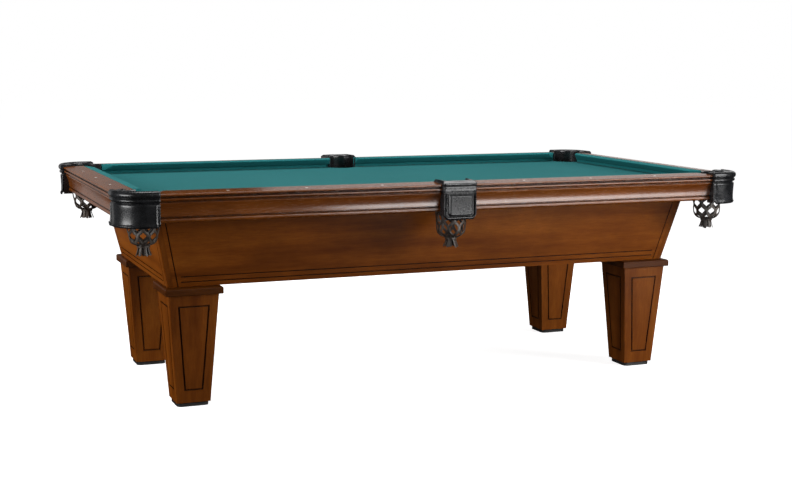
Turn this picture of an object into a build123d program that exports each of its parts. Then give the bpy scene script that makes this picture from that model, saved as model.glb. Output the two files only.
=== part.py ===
from build123d import *

import os
from math import atan, cos, radians, sin, sqrt, tan

# Pool table: an oak cabinet on four tapered legs, a three-piece slate bed, six cushioned rails
# and six leather drop pockets with net bags.
# Origin on the floor under the middle of the table, +X along the table to its right-hand end,
# +Y from the near side to the far side, +Z up. All sizes are in millimetres.

os.makedirs("parts", exist_ok=True)

# Playing area and heights above the floor
play_length = 2235.2  # cushion nose to cushion nose
play_width = 1117.6
table_height = 808.0  # top of the cushions
bed_height = 766.0  # top of the bed cloth

# Rails, measured outwards from the cushion nose and downwards from the rail's top edge
rail_width = 114.0
cushion_depth = 38.0
rail_fall = 5.0  # how much lower the outer edge of the rail's top is than the inner one
rail_drop = 105.0  # cushion top to the underside of the rail
rail_skirt_gap = 3.0  # between the slate's edge and the wood hanging outside it
cushion_heel = 14.0  # underside of the rubber above the bed
nose_height = 37.0  # tip of the cushion above the bed

# Bed
cloth_thickness = 1.0
slate_thickness = 25.0
liner_thickness = 19.0
slate_reach = 57.0  # slate past the cushion nose

# Pockets
corner_mouth = 127.0  # between the two cushion tips at a corner
side_mouth = 133.0
corner_jaw = 38.0  # degrees between a cushion's end and the line of its nose
side_jaw = 76.0
corner_offset = 19.0  # pocket centre outwards from the crossing of the nose lines, each way
side_offset = 46.0
corner_hole = 62.0
side_hole = 60.0
leather_wall = 4.5
leather_proud = 12.0  # corner covers past the rail's outside
side_proud = 14.0  # side covers past the rail's outside
shield_wall = 8.0
corner_cover = 135.0  # how far a corner cover reaches along each rail from the outer corner
side_cover = 66.0  # half the width of a side cover
corner_round = 107.0
rim_height = 14.0
rim_proud = 4.0  # rim above the cushion top
corner_shield_bottom = 688.0
side_shield_bottom = 676.0
shield_lean = 3.0
liner_foot = 745.0  # lower end of the leather that lines the pocket's throat

# Cabinet, at its bottom edge
cabinet_x = 1024.0
cabinet_y = 431.0
cabinet_bottom = 443.0
cabinet_lean = 0.22  # outward spread for each unit of height
apron_thickness = 22.0
post_size = 22.0
beam_thickness = 40.0
beam_height = 140.0

# Legs
cap_size = 211.0
cap_thickness = 27.0
cap_overhang_x = 15.0  # past the cabinet's bottom edge
cap_overhang_y = 35.0
leg_top_size = 184.0
leg_bottom_size = 125.0
leg_board = 20.0
leg_lift = 15.0  # underside of the leg above the floor, with its leveller fully in
pad_size = 117.0
pad_thickness = 13.0
stem_radius = 8.0

clearance = 0.3

half_x = play_length / 2
half_y = play_width / 2
outer_x = half_x + rail_width
outer_y = half_y + rail_width
slate_x = half_x + slate_reach
slate_y = half_y + slate_reach
slate_top = bed_height - cloth_thickness
slate_bottom = slate_top - slate_thickness
frame_top = slate_bottom - liner_thickness
rail_bottom = table_height - rail_drop
rail_edge = table_height - rail_fall
rim_top = table_height + rim_proud
rim_bottom = rim_top - rim_height
corner_x = half_x + corner_offset
corner_y = half_y + corner_offset
side_y = half_y + side_offset
leg_x = cabinet_x + cap_overhang_x - cap_size / 2
leg_y = cabinet_y + cap_overhang_y - cap_size / 2
leg_top = cabinet_bottom - cap_thickness
slate_joint = slate_x / 3
station_x = corner_x / 4  # the sights divide the run from pocket centre to pocket centre
station_y = corner_y / 2
long_stations = (station_x, 2 * station_x, 3 * station_x)
short_stations = (-station_y, 0, station_y)

quarters = (("front_left", -1, -1), ("front_right", 1, -1), ("rear_left", -1, 1), ("rear_right", 1, 1))
ends = (("left", -1), ("right", 1))
faces = (("front", -1), ("rear", 1))


def save(builder, name):
    """Label a finished piece and write it as its own STEP file."""
    builder.part.label = name
    export_step(builder.part, f"parts/{name}.step")


def flip(side, depth):
    """Mirror a piece drawn in the rear right quarter into the quarter it belongs to."""
    if side < 0:
        mirror(about=Plane.YZ, mode=Mode.REPLACE)
    if depth < 0:
        mirror(about=Plane.XZ, mode=Mode.REPLACE)


def four_ways():
    """Repeat a piece drawn in the rear right quarter in all four quarters."""
    mirror(about=Plane.YZ)
    mirror(about=Plane.XZ)


def span(x_low, x_high, y_low, y_high, mode=Mode.ADD):
    """A rectangle given by its four sides."""
    with Locations(((x_low + x_high) / 2, (y_low + y_high) / 2)):
        Rectangle(x_high - x_low, y_high - y_low, mode=mode)


def lean(z):
    """How far the cabinet's faces have spread outwards at height z."""
    return (z - cabinet_bottom) * cabinet_lean


# ---------------------------------------------------------------- levellers
# A painted steel foot on a threaded stem under each leg, turned to level the slate.
pad_round = 18.0
pad_chamfer = 2.0
stem_top = 69.0

for name, side, depth in quarters:
    with BuildPart() as leveller:
        with BuildSketch(Plane.XY):
            with Locations((leg_x, leg_y)):
                RectangleRounded(pad_size, pad_size, pad_round)
        extrude(amount=pad_thickness)
        chamfer(leveller.faces().sort_by(Axis.Z)[-1].edges(), length=pad_chamfer)
        with BuildSketch(Plane.XY.offset(pad_thickness)):
            with Locations((leg_x, leg_y)):
                Circle(stem_radius)
        extrude(amount=stem_top - pad_thickness)
        flip(side, depth)
    save(leveller, f"leveller_{name}")

# A flanged threaded bush in the foot of each leg, in which the leveller's stem runs.
bush_radius = 12.0
bush_flange = 18.0
bush_flange_thickness = 3.0
bush_length = 27.0

with BuildPart() as leveller_bushes:
    with Locations((leg_x, leg_y, leg_lift)):
        Cylinder(bush_flange, bush_flange_thickness, align=(Align.CENTER, Align.CENTER, Align.MIN))
        Cylinder(bush_radius, bush_length, align=(Align.CENTER, Align.CENTER, Align.MIN))
        Cylinder(
            stem_radius + clearance,
            bush_length,
            align=(Align.CENTER, Align.CENTER, Align.MIN),
            mode=Mode.SUBTRACT,
        )
    four_ways()
save(leveller_bushes, "leveller_bushes")

# ---------------------------------------------------------------- legs
# Four mitred boards make a hollow taper. A groove is run round each face to outline a panel.
leg_slope = atan((leg_top_size - leg_bottom_size) / 2 / (leg_top - leg_lift))
groove_width = 6.0
groove_depth = 4.0
panel_side = 31.0  # from the leg's edge to the groove
panel_below_top = 40.0
panel_above_foot = 46.0
block_height = 80.0
foot_block_height = 60.0
leg_bolt_radius = 6.0
leg_bolt_spread = 25.0
leg_bolt_depth = 60.0


def leg_size(z):
    """Outside width of a leg at height z."""
    share = (z - leg_lift) / (leg_top - leg_lift)
    return leg_bottom_size + (leg_top_size - leg_bottom_size) * share


def leg_sections(z_low, z_high, less):
    """The leg's square section at two heights, narrower than its outside by twice less."""
    sections = []
    for z in (z_low, z_high):
        with BuildSketch(Plane.XY.offset(z)) as section:
            with Locations((leg_x, leg_y)):
                Rectangle(leg_size(z) - 2 * less, leg_size(z) - 2 * less)
        sections.append(section.sketch)
    return sections


def leg_panel(inset, mode=Mode.ADD):
    """The tapered panel on one face of a leg, drawn on that face."""
    z_low = leg_lift + panel_above_foot + inset
    z_high = leg_top - panel_below_top - inset
    middle = (leg_top + leg_lift) / 2
    low_half = leg_size(z_low) / 2 - panel_side - inset
    high_half = leg_size(z_high) / 2 - panel_side - inset
    low = (z_low - middle) / cos(leg_slope)
    high = (z_high - middle) / cos(leg_slope)
    Polygon((-low_half, low), (low_half, low), (high_half, high), (-high_half, high), align=None, mode=mode)


def leg_faces():
    """The planes of a leg's four outside faces, each with its local y up the leg."""
    middle = (leg_top + leg_lift) / 2
    half = leg_size(middle) / 2
    for turn in (0, 90, 180, 270):
        across = cos(radians(turn))
        along = sin(radians(turn))
        yield Plane(
            origin=(leg_x + half * across, leg_y + half * along, middle),
            x_dir=(-along, across, 0),
            z_dir=(across * cos(leg_slope), along * cos(leg_slope), -sin(leg_slope)),
        )


for name, side, depth in quarters:
    with BuildPart() as leg:
        loft(leg_sections(leg_lift, leg_top, 0), ruled=True)
        loft(leg_sections(leg_lift, leg_top, leg_board), ruled=True, mode=Mode.SUBTRACT)
        for face in leg_faces():
            with BuildSketch(face):
                leg_panel(0)
                leg_panel(groove_width, mode=Mode.SUBTRACT)
            extrude(amount=-groove_depth, mode=Mode.SUBTRACT)
        flip(side, depth)
    save(leg, f"leg_{name}")

# Blocks glued inside each leg, at its top for the bolts and at its foot for the leveller.
with BuildPart() as leg_blocks:
    loft(leg_sections(leg_top - block_height, leg_top, leg_board), ruled=True)
    with Locations((leg_x - leg_bolt_spread, leg_y, leg_top), (leg_x + leg_bolt_spread, leg_y, leg_top)):
        Cylinder(
            leg_bolt_radius + clearance,
            leg_bolt_depth,
            align=(Align.CENTER, Align.CENTER, Align.MAX),
            mode=Mode.SUBTRACT,
        )
    loft(leg_sections(leg_lift, leg_lift + foot_block_height, leg_board), ruled=True)
    with Locations((leg_x, leg_y, leg_lift)):
        Cylinder(
            bush_flange,
            bush_flange_thickness,
            align=(Align.CENTER, Align.CENTER, Align.MIN),
            mode=Mode.SUBTRACT,
        )
        Cylinder(bush_radius, bush_length, align=(Align.CENTER, Align.CENTER, Align.MIN), mode=Mode.SUBTRACT)
        Cylinder(
            stem_radius + 2 * clearance,
            foot_block_height,
            align=(Align.CENTER, Align.CENTER, Align.MIN),
            mode=Mode.SUBTRACT,
        )
    four_ways()
save(leg_blocks, "leg_blocks")

# The moulded plate between a leg and the cabinet.
cap_round = 7.0  # rounding of the plate's top edge
cap_ease = 2.5  # and of its lower one

with BuildPart() as leg_caps:
    with BuildSketch(Plane.XY.offset(leg_top)):
        with Locations((leg_x, leg_y)):
            Rectangle(cap_size, cap_size)
        with Locations((leg_x - leg_bolt_spread, leg_y), (leg_x + leg_bolt_spread, leg_y)):
            Circle(leg_bolt_radius + clearance, mode=Mode.SUBTRACT)
    extrude(amount=cap_thickness)
    lower_edges = leg_caps.faces().sort_by(Axis.Z)[0].outer_wire().edges()
    fillet(lower_edges, radius=cap_ease)
    upper_edges = leg_caps.faces().sort_by(Axis.Z)[-1].outer_wire().edges()
    fillet(upper_edges, radius=cap_round)
    four_ways()
save(leg_caps, "leg_caps")

# ---------------------------------------------------------------- cabinet
# Aprons between corner posts, all leaning outwards towards the top.
bead_low = 18.0  # lower groove above the cabinet's bottom edge
bead_high = 38.0
bead_groove = 4.0
bead_depth = 3.0
stile_width = 14.0  # between an apron's end and the upright groove beside it
apron_margin = 12.0


def board_sections(z_low, z_high, along, outside, thickness, lengthwise):
    """Two sections of a board that leans with the cabinet, at the rear or at the right-hand end."""
    sections = []
    for z in (z_low, z_high):
        half = along + lean(z)
        outer = outside + lean(z)
        with BuildSketch(Plane.XY.offset(z)) as section:
            if lengthwise:
                span(-half, half, outer - thickness, outer)
            else:
                span(outer - thickness, outer, -half, half)
        sections.append(section.sketch)
    return sections


def apron_grooves(along, outside, lengthwise):
    """Two long grooves near the bottom edge and an upright one by each end."""
    tilt = atan(cabinet_lean)
    middle = (frame_top + cabinet_bottom) / 2
    reach = outside + lean(middle)
    if lengthwise:
        face = Plane(origin=(0, reach, middle), x_dir=(-1, 0, 0), z_dir=(0, cos(tilt), -sin(tilt)))
    else:
        face = Plane(origin=(reach, 0, middle), x_dir=(0, 1, 0), z_dir=(cos(tilt), 0, -sin(tilt)))
    inner = along - stile_width - apron_margin
    rise = (frame_top - cabinet_bottom) / cos(tilt)
    low = along - stile_width
    high = low + lean(frame_top)
    with BuildSketch(face) as grooves:
        for height in (bead_low, bead_high):
            up = (cabinet_bottom + height - middle) / cos(tilt)
            with Locations((0, up)):
                Rectangle(2 * inner, bead_groove)
        for hand in (-1, 1):
            Polygon(
                (hand * (low - bead_groove), -rise / 2),
                (hand * low, -rise / 2),
                (hand * high, rise / 2),
                (hand * (high - bead_groove), rise / 2),
                align=None,
            )
    return grooves.sketch


for name, depth in faces:
    along = cabinet_x - post_size
    with BuildPart() as apron:
        loft(board_sections(cabinet_bottom, frame_top, along, cabinet_y, apron_thickness, True), ruled=True)
        extrude(apron_grooves(along, cabinet_y, True), amount=-bead_depth, mode=Mode.SUBTRACT)
        flip(1, depth)
    save(apron, f"apron_{name}")

for name, side in ends:
    along = cabinet_y - post_size
    with BuildPart() as apron:
        loft(board_sections(cabinet_bottom, frame_top, along, cabinet_x, apron_thickness, False), ruled=True)
        extrude(apron_grooves(along, cabinet_x, False), amount=-bead_depth, mode=Mode.SUBTRACT)
        flip(side, 1)
    save(apron, f"apron_{name}")

# Square oak posts that close the cabinet's corners.
post_round = 3.0

with BuildPart() as corner_posts:
    for z in (cabinet_bottom, frame_top):
        with BuildSketch(Plane.XY.offset(z)):
            out_x = cabinet_x + lean(z)
            out_y = cabinet_y + lean(z)
            span(out_x - post_size, out_x, out_y - post_size, out_y)
    loft(ruled=True)
    upright_edges = corner_posts.edges().sort_by(Axis.Z)[4:-4]
    fillet(upright_edges.sort_by(SortBy.DISTANCE)[-1], radius=post_round)
    four_ways()
save(corner_posts, "corner_posts")

# ---------------------------------------------------------------- frame
# Beams behind the aprons carry the slate, with cross beams under its joints.
cross_width = 90.0
cross_height = 120.0
beam_bottom = frame_top - beam_height
cross_bottom = frame_top - cross_height
beam_y = cabinet_y - apron_thickness
beam_x = cabinet_x - apron_thickness
screw_radius = 3.0
screw_head = 6.0
screw_bite = 22.0  # depth of a slate screw in its beam
screw_sink = 3.0  # head below the slate's top
screw_from_joint = 22.0
screw_rows = (-300.0, 0.0, 300.0)

joint_screws = [
    (hand * slate_joint + shift, row)
    for hand in (-1, 1)
    for shift in (-screw_from_joint, screw_from_joint)
    for row in screw_rows
]
end_screw_x = beam_x + lean(frame_top) - beam_thickness / 2
end_screws = [(hand * end_screw_x, row) for hand in (-1, 1) for row in screw_rows]
screw_spots = joint_screws + end_screws


def screw_pilots():
    """Holes for the slate screws in whatever beam is being made."""
    with Locations(*[(x, y, frame_top) for x, y in screw_spots]):
        Cylinder(
            screw_radius,
            screw_bite,
            align=(Align.CENTER, Align.CENTER, Align.MAX),
            mode=Mode.SUBTRACT,
        )


for name, depth in faces:
    with BuildPart() as beam:
        along = cabinet_x - post_size
        loft(board_sections(beam_bottom, frame_top, along, beam_y, beam_thickness, True), ruled=True)
        flip(1, depth)
    save(beam, f"side_beam_{name}")

for name, side in ends:
    with BuildPart() as beam:
        along = beam_y - beam_thickness
        loft(board_sections(beam_bottom, frame_top, along, beam_x, beam_thickness, False), ruled=True)
        flip(side, 1)
        screw_pilots()
    save(beam, f"end_beam_{name}")

with BuildPart() as cross_beams:
    for z in (cross_bottom, frame_top):
        half = beam_y - beam_thickness + lean(z)
        with BuildSketch(Plane.XY.offset(z)):
            span(slate_joint - cross_width / 2, slate_joint + cross_width / 2, -half, half)
    loft(ruled=True)
    mirror(about=Plane.YZ)
    screw_pilots()
save(cross_beams, "cross_beams")

with BuildPart() as centre_beams:
    for z in (cross_bottom, frame_top):
        reach = beam_x - beam_thickness + lean(z)
        with BuildSketch(Plane.XY.offset(z)):
            span(slate_joint + cross_width / 2, reach, -cross_width / 2, cross_width / 2)
    loft(ruled=True)
    mirror(about=Plane.YZ)
    with Locations((0, 0, (cross_bottom + frame_top) / 2)):
        Box(2 * slate_joint - cross_width, cross_width, cross_height)
save(centre_beams, "centre_beams")

# Blocks in the cabinet's corners, which the leg bolts pull against.
block_x = 860.0
block_y = 290.0

with BuildPart() as corner_blocks:
    for z in (cabinet_bottom, beam_bottom):
        with BuildSketch(Plane.XY.offset(z)):
            span(block_x, beam_x + lean(z), block_y, beam_y + lean(z))
    loft(ruled=True)
    for z in (cabinet_bottom, beam_bottom):
        with BuildSketch(Plane.XY.offset(z)):
            post_x = cabinet_x - post_size + lean(z)
            post_y = cabinet_y - post_size + lean(z)
            span(post_x, post_x + 2 * post_size, post_y, post_y + 2 * post_size)
    loft(ruled=True, mode=Mode.SUBTRACT)
    with Locations(
        (leg_x - leg_bolt_spread, leg_y, cabinet_bottom), (leg_x + leg_bolt_spread, leg_y, cabinet_bottom)
    ):
        Cylinder(
            leg_bolt_radius + clearance,
            beam_bottom - cabinet_bottom,
            align=(Align.CENTER, Align.CENTER, Align.MIN),
            mode=Mode.SUBTRACT,
        )
    four_ways()
save(corner_blocks, "corner_blocks")

# Steel plates under the heads of the leg bolts, and the bolts.
plate_length = 84.0
plate_width = 50.0
plate_thickness = 5.0
leg_bolt_head = 10.0
leg_bolt_head_height = 8.0

with BuildPart() as leg_plates:
    with BuildSketch(Plane.XY.offset(beam_bottom)):
        with Locations((leg_x, leg_y)):
            Rectangle(plate_length, plate_width)
        with Locations((leg_x - leg_bolt_spread, leg_y), (leg_x + leg_bolt_spread, leg_y)):
            Circle(leg_bolt_radius + clearance, mode=Mode.SUBTRACT)
    extrude(amount=plate_thickness)
    four_ways()
save(leg_plates, "leg_plates")

with BuildPart() as leg_bolts:
    bolt_top = beam_bottom + plate_thickness
    with BuildSketch(Plane.XY.offset(bolt_top)):
        with Locations((leg_x - leg_bolt_spread, leg_y), (leg_x + leg_bolt_spread, leg_y)):
            RegularPolygon(leg_bolt_head, 6)
    extrude(amount=leg_bolt_head_height)
    with BuildSketch(Plane.XY.offset(bolt_top)):
        with Locations((leg_x - leg_bolt_spread, leg_y), (leg_x + leg_bolt_spread, leg_y)):
            Circle(leg_bolt_radius)
    extrude(amount=-(bolt_top - leg_top + leg_bolt_depth - clearance))
    four_ways()
save(leg_bolts, "leg_bolts")

# ---------------------------------------------------------------- bed
# Three slates on wooden liners, screwed down, pinned to each other and covered with one cloth.
bed_relief = 5.0  # slate's pocket cuts past the pocket holes
liner_relief = 12.0
rail_bolt_radius = 4.0
rail_bolt_reach = 47.8  # from the cushion nose
rail_bolt_play = 1.0

corner_spots = [(hand * corner_x, deep * corner_y) for hand in (-1, 1) for deep in (-1, 1)]
side_spots = [(0, -side_y), (0, side_y)]
rail_bolt_spots = [
    (hand * place, deep * (half_y + rail_bolt_reach))
    for hand in (-1, 1)
    for deep in (-1, 1)
    for place in long_stations
]
rail_bolt_spots += [(hand * (half_x + rail_bolt_reach), place) for hand in (-1, 1) for place in short_stations]


def bed_plan(x_low, x_high, relief):
    """Plan of a piece of the bed, cut for the pockets and drilled for the rail bolts."""
    span(x_low, x_high, -slate_y, slate_y)
    with Locations(*corner_spots):
        Circle(corner_hole + relief, mode=Mode.SUBTRACT)
    with Locations(*side_spots):
        Circle(side_hole + relief, mode=Mode.SUBTRACT)
    with Locations(*rail_bolt_spots):
        Circle(rail_bolt_radius + rail_bolt_play, mode=Mode.SUBTRACT)


slates = (
    ("slate_left", -slate_x, -slate_joint),
    ("slate_centre", -slate_joint, slate_joint),
    ("slate_right", slate_joint, slate_x),
)
dowel_radius = 4.0
dowel_length = 40.0
dowel_rows = (-430.0, -150.0, 150.0, 430.0)
dowel_height = slate_bottom + slate_thickness / 2
head_depth = screw_head - screw_radius

for name, x_low, x_high in slates:
    with BuildPart() as slate:
        with BuildSketch(Plane.XY.offset(slate_bottom)):
            bed_plan(x_low, x_high, bed_relief)
        extrude(amount=slate_thickness)
        with Locations(*[(x, y, slate_top) for x, y in screw_spots]):
            Cylinder(
                screw_head,
                screw_sink,
                align=(Align.CENTER, Align.CENTER, Align.MAX),
                mode=Mode.SUBTRACT,
            )
        with Locations(*[(x, y, slate_top - screw_sink) for x, y in screw_spots]):
            Cone(
                screw_radius,
                screw_head,
                head_depth,
                align=(Align.CENTER, Align.CENTER, Align.MAX),
                mode=Mode.SUBTRACT,
            )
            Cylinder(
                screw_radius,
                slate_thickness,
                align=(Align.CENTER, Align.CENTER, Align.MAX),
                mode=Mode.SUBTRACT,
            )
        with Locations(*[(hand * slate_joint, row, dowel_height) for hand in (-1, 1) for row in dowel_rows]):
            Cylinder(dowel_radius, dowel_length, rotation=(0, 90, 0), mode=Mode.SUBTRACT)
    save(slate, name)

# Each liner is five strips glued under its slate: one at each end and three between them.
strip_width = 100.0
strip_joint = 0.6
window_low = 60.0
window_high = 420.0

with BuildPart() as slate_liners:
    for name, x_low, x_high in slates:
        with BuildSketch(Plane.XY.offset(frame_top)):
            bed_plan(x_low + clearance, x_high - clearance, liner_relief)
            for low, high in ((-window_high, -window_low), (window_low, window_high)):
                span(x_low + strip_width, x_high - strip_width, low, high, mode=Mode.SUBTRACT)
            for joint in (x_low + strip_width, x_high - strip_width):
                span(joint - strip_joint, joint, -slate_y, slate_y, mode=Mode.SUBTRACT)
            with Locations(*screw_spots):
                Circle(screw_radius, mode=Mode.SUBTRACT)
        extrude(amount=liner_thickness)
save(slate_liners, "slate_liners")

with BuildPart() as slate_screws:
    with Locations(*[(x, y, slate_top - screw_sink) for x, y in screw_spots]):
        Cone(screw_radius, screw_head, head_depth, align=(Align.CENTER, Align.CENTER, Align.MAX))
        Cylinder(
            screw_radius,
            slate_top - screw_sink - frame_top + screw_bite,
            align=(Align.CENTER, Align.CENTER, Align.MAX),
        )
save(slate_screws, "slate_screws")

with BuildPart() as slate_dowels:
    with Locations(*[(hand * slate_joint, row, dowel_height) for hand in (-1, 1) for row in dowel_rows]):
        Cylinder(dowel_radius, dowel_length, rotation=(0, 90, 0))
save(slate_dowels, "slate_dowels")

with BuildPart() as bed_cloth:
    with BuildSketch(Plane.XY.offset(slate_top)):
        bed_plan(-slate_x, slate_x, bed_relief)
    extrude(amount=cloth_thickness)
save(bed_cloth, "bed_cloth")

# ---------------------------------------------------------------- rails
# Moulded oak rails, bolted down through the slate, with rubber cushions glued along them.
rail_relief = 6.0  # clear of the corner pocket's hole
bore_height = 420.0  # taller than any rail or cushion
bolt_bite = 24.0
sight_radius = 5.5
sight_depth = 2.0
sight_reach = 76.0
sight_tilt = atan(rail_fall / (rail_width - cushion_depth))
lug_length = 43.0
lug_root = 3.0  # how much of a lug's length lies in the body of its iron
lug_width = 24.0
lug_thickness = 10.0
lug_height = 772.0
lug_reach = 88.0  # from the cushion nose to the middle of a pocket iron's lug
lug_bolt_reach = 81.0
lug_bolt_radius = 3.0
lug_bolt_head = 5.0
lug_bolt_head_height = 5.0
lug_bolt_sink = 8.0
lug_bolt_top = 790.0
corner_rail_end = outer_x - corner_cover
side_rail_end = side_cover + clearance
short_rail_end = outer_y - corner_cover


# The moulding outside a rail, from the top down. Each point gives how far it is set in from the
# rail's widest line and how far it lies below the outer edge of the rail's top.
top_bead = ((4, 0), (0, 4), (4, 8))
top_quirk = ((8, 9.5), (8, 13), (5, 14))
second_bead = ((5, 14), (1, 18.5), (5, 23))
cove_step = ((10, 26), (10, 29), (8, 30), (8, 34))
cove = ((8, 34), (16.5, 55), (20, 79))
bottom_quirk = ((24, 80), (24, 84), (22, 85))
bottom_bead = ((22, 85), (18, 92), (22, 99))
bottom_set_in = 24


def rail_profile(plane, nose):
    """Section of a rail's wood: on the slate, over its edge, and moulded on the outside."""
    inner = nose + cushion_depth
    out = nose + rail_width
    skirt = nose + slate_reach + rail_skirt_gap

    def moulded(*points):
        """Points of the moulding, in this section's own coordinates."""
        return [(out - set_in, rail_edge - drop) for set_in, drop in points]

    with BuildSketch(plane) as section:
        with BuildLine():
            Polyline((inner, bed_height), (inner, table_height), *moulded(top_bead[0]))
            ThreePointArc(*moulded(*top_bead))
            Polyline(*moulded(top_bead[-1], *top_quirk))
            ThreePointArc(*moulded(*second_bead))
            Polyline(*moulded(second_bead[-1], *cove_step))
            ThreePointArc(*moulded(*cove))
            Polyline(*moulded(cove[-1], *bottom_quirk))
            ThreePointArc(*moulded(*bottom_bead))
            Polyline(
                *moulded(bottom_bead[-1]),
                (out - bottom_set_in, rail_bottom),
                (skirt, rail_bottom),
                (skirt, bed_height),
                (inner, bed_height),
            )
        make_face()
    return section.sketch


def rail_fittings(reach_from, stations, along_x):
    """Holes up into a rail for its bolts, and shallow recesses for its sights."""
    for place in stations:
        bolt = reach_from + rail_bolt_reach
        sight = reach_from + sight_reach
        top = table_height - (sight_reach - cushion_depth) * tan(sight_tilt)
        bolt_spot = (place, bolt, bed_height) if along_x else (bolt, place, bed_height)
        with Locations(bolt_spot):
            Cylinder(
                rail_bolt_radius,
                bolt_bite,
                align=(Align.CENTER, Align.CENTER, Align.MIN),
                mode=Mode.SUBTRACT,
            )
        with Locations(sight_plane(place, sight, top, along_x)):
            Cylinder(sight_radius, 2 * sight_depth, mode=Mode.SUBTRACT)


def sight_plane(place, reach, top, along_x):
    """The rail's sloping top at one sight."""
    if along_x:
        return Plane(origin=(place, reach, top), x_dir=(1, 0, 0), z_dir=(0, sin(sight_tilt), cos(sight_tilt)))
    return Plane(origin=(reach, place, top), x_dir=(0, 1, 0), z_dir=(sin(sight_tilt), 0, cos(sight_tilt)))


# The lugs in the rear right quarter: the middle, how far the bolt stands off it along X, the size.
lug_middle = lug_length / 2 - lug_root
lugs = (
    (corner_rail_end - lug_middle, half_y + lug_reach, 0, lug_length, lug_width),
    (side_rail_end + lug_middle, half_y + lug_reach, 0, lug_length, lug_width),
    (half_x + lug_reach, short_rail_end - lug_middle, lug_bolt_reach - lug_reach, lug_width, lug_length),
)


def lug_bolt_spot(lug):
    """Where a lug's bolt passes through it, nearer the cushion than its middle."""
    x, y, x_shift = lug[:3]
    y_shift = 0 if x_shift else lug_bolt_reach - lug_reach
    return x + x_shift, y + y_shift


def lug_mortises():
    """Slots in the rail ends for the irons' lugs, with a bolt hole up through each."""
    for lug in lugs:
        x, y = lug[:2]
        bolt_x, bolt_y = lug_bolt_spot(lug)
        for deep in (-1, 1):
            with Locations((x, deep * y, lug_height)):
                Box(
                    lug[3] + 2 * clearance,
                    lug[4] + 2 * clearance,
                    lug_thickness + 2 * clearance,
                    mode=Mode.SUBTRACT,
                )
            with Locations((bolt_x, deep * bolt_y, rail_bottom)):
                Cylinder(
                    lug_bolt_radius,
                    lug_bolt_top - rail_bottom,
                    align=(Align.CENTER, Align.CENTER, Align.MIN),
                    mode=Mode.SUBTRACT,
                )
                Cylinder(
                    lug_bolt_head + clearance,
                    lug_bolt_sink,
                    align=(Align.CENTER, Align.CENTER, Align.MIN),
                    mode=Mode.SUBTRACT,
                )


def corner_bore(mode=Mode.SUBTRACT):
    """Clear the corner pocket's round hole through a rail or a cushion."""
    for deep in (-1, 1):
        with Locations((corner_x, deep * corner_y, table_height)):
            Cylinder(corner_hole + rail_relief, bore_height, mode=mode)


for name, side, depth in quarters:
    with BuildPart() as rail:
        section = rail_profile(Plane.YZ.offset(side_rail_end), half_y)
        extrude(section, amount=corner_rail_end - side_rail_end)
        corner_bore()
        rail_fittings(half_y, long_stations, True)
        lug_mortises()
        flip(side, depth)
    save(rail, f"rail_{name}")

for name, side in ends:
    with BuildPart() as rail:
        section = rail_profile(Plane.XZ.offset(-short_rail_end), half_x)
        extrude(section, amount=2 * short_rail_end)
        corner_bore()
        rail_fittings(half_x, short_stations, False)
        lug_mortises()
        flip(side, 1)
    save(rail, f"rail_{name}")


tip_back = 2.5  # the nose's rounding: upper end behind the tip, and its rise above and below it
tip_rise = 2.6
tip_under = 1.5
heel_back = 27.0  # cushion's heel behind its tip


def cushion_profile(plane, nose):
    """Section of a cushion, rubber and cloth together."""
    back = nose + cushion_depth
    tip = bed_height + nose_height
    heel = bed_height + cushion_heel
    with BuildSketch(plane) as section:
        with BuildLine():
            Line((back, heel), (back, table_height))
            Line((back, table_height), (nose + tip_back, tip + tip_rise))
            ThreePointArc((nose + tip_back, tip + tip_rise), (nose, tip), (nose + tip_under, tip - tip_rise))
            Polyline((nose + tip_under, tip - tip_rise), (nose + heel_back, heel), (back, heel))
        make_face()
    return section.sketch


corner_tip = corner_mouth / sqrt(2)
corner_cut = cushion_depth / tan(radians(corner_jaw))
side_tip = side_mouth / 2
side_cut = cushion_depth / tan(radians(side_jaw))

for name, side, depth in quarters:
    with BuildPart() as cushion:
        extrude(cushion_profile(Plane.YZ, half_y), amount=half_x + cushion_depth)
        with BuildSketch(Plane.XY.offset(bed_height)):
            Polygon(
                (side_tip, half_y),
                (half_x - corner_tip, half_y),
                (half_x - corner_tip + corner_cut, half_y + cushion_depth),
                (side_tip - side_cut, half_y + cushion_depth),
                align=None,
            )
        extrude(amount=bore_height, mode=Mode.INTERSECT)
        corner_bore()
        with Locations((0, side_y, table_height)):
            Cylinder(side_hole + bed_relief, bore_height, mode=Mode.SUBTRACT)
        flip(side, depth)
    save(cushion, f"cushion_{name}")

for name, side in ends:
    with BuildPart() as cushion:
        extrude(cushion_profile(Plane.XZ.offset(-half_y), half_x), amount=play_width)
        with BuildSketch(Plane.XY.offset(bed_height)):
            Polygon(
                (half_x, corner_tip - half_y),
                (half_x, half_y - corner_tip),
                (half_x + cushion_depth, half_y - corner_tip + corner_cut),
                (half_x + cushion_depth, corner_tip - corner_cut - half_y),
                align=None,
            )
        extrude(amount=bore_height, mode=Mode.INTERSECT)
        corner_bore()
        flip(side, 1)
    save(cushion, f"cushion_{name}")

# Round pearl sights let into the rail tops.
with BuildPart() as rail_sights:
    sight_top = table_height - (sight_reach - cushion_depth) * tan(sight_tilt)
    for place in long_stations:
        with Locations(sight_plane(place, half_y + sight_reach, sight_top, True)):
            Cylinder(sight_radius, sight_depth, align=(Align.CENTER, Align.CENTER, Align.MAX))
    for place in short_stations:
        with Locations(sight_plane(place, half_x + sight_reach, sight_top, False)):
            Cylinder(sight_radius, sight_depth, align=(Align.CENTER, Align.CENTER, Align.MAX))
    four_ways()
save(rail_sights, "rail_sights")

# Hexagon bolts with washers that hold the rails down from under the slate.
washer_radius = 9.0
washer_thickness = 2.0
rail_bolt_head = 7.5
rail_bolt_head_height = 6.0

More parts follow.
